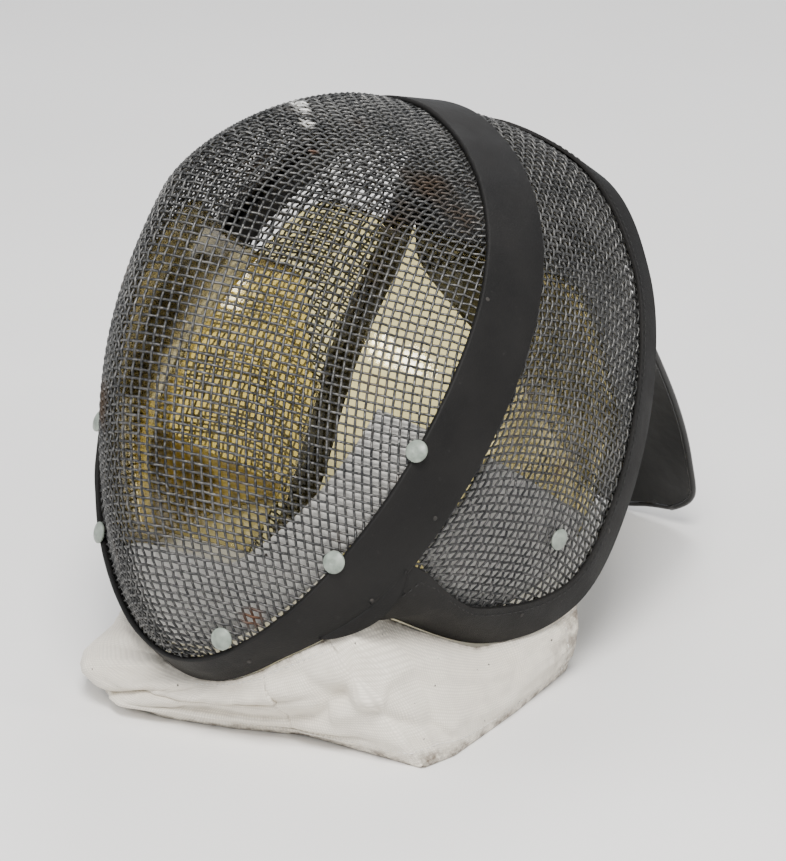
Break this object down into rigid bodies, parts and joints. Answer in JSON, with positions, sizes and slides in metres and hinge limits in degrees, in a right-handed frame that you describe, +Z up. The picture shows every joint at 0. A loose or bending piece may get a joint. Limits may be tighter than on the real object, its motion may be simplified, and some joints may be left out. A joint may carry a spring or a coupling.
{
  "type": "fencing mask",
  "caption": "Fencing mask lying face up: ridged wire-mesh face, mesh sides, black leather band and trim, clear amber face shield, leather tongue and off-white canvas bib.",
  "frame": {"origin": "on the table, under the middle of the box round the whole mask as it lies", "axes": "+Z up, -Y the way the face points, +X the wearer's left, seen with the mask leaning back 32 degrees and rolled 12 degrees onto its right cheek"},
  "size_m": [0.2454, 0.3738, 0.2709],
  "materials": {
    "mesh_steel": "woven wire, worn",
    "band_leather": "matte black",
    "tongue_leather": "glossy black",
    "bib_canvas": "off-white canvas, soiled at the edges",
    "lining_cloth": "off-white cloth",
    "shield_sheet": "glossy clear amber plastic",
    "stud_plastic": "frosted, clear"
  },
  "bodies": {
    "root": {"front_mesh": "mesh_steel", "side_mesh": "mesh_steel", "front_band": "band_leather", "inner_strip": "band_leather", "rear_trim": "band_leather", "tongue": "tongue_leather", "bib": "bib_canvas", "chin_lining": "lining_cloth", "cheek_lining_left": "lining_cloth", "cheek_lining_right": "lining_cloth", "face_shield": "shield_sheet", "stud_upper_left": "stud_plastic", "stud_upper_right": "stud_plastic", "stud_lower_left": "stud_plastic", "stud_lower_right": "stud_plastic", "stud_chin": "stud_plastic", "stud_cheek_left": "stud_plastic", "stud_cheek_right": "stud_plastic"}
  },
  "joints": []
}
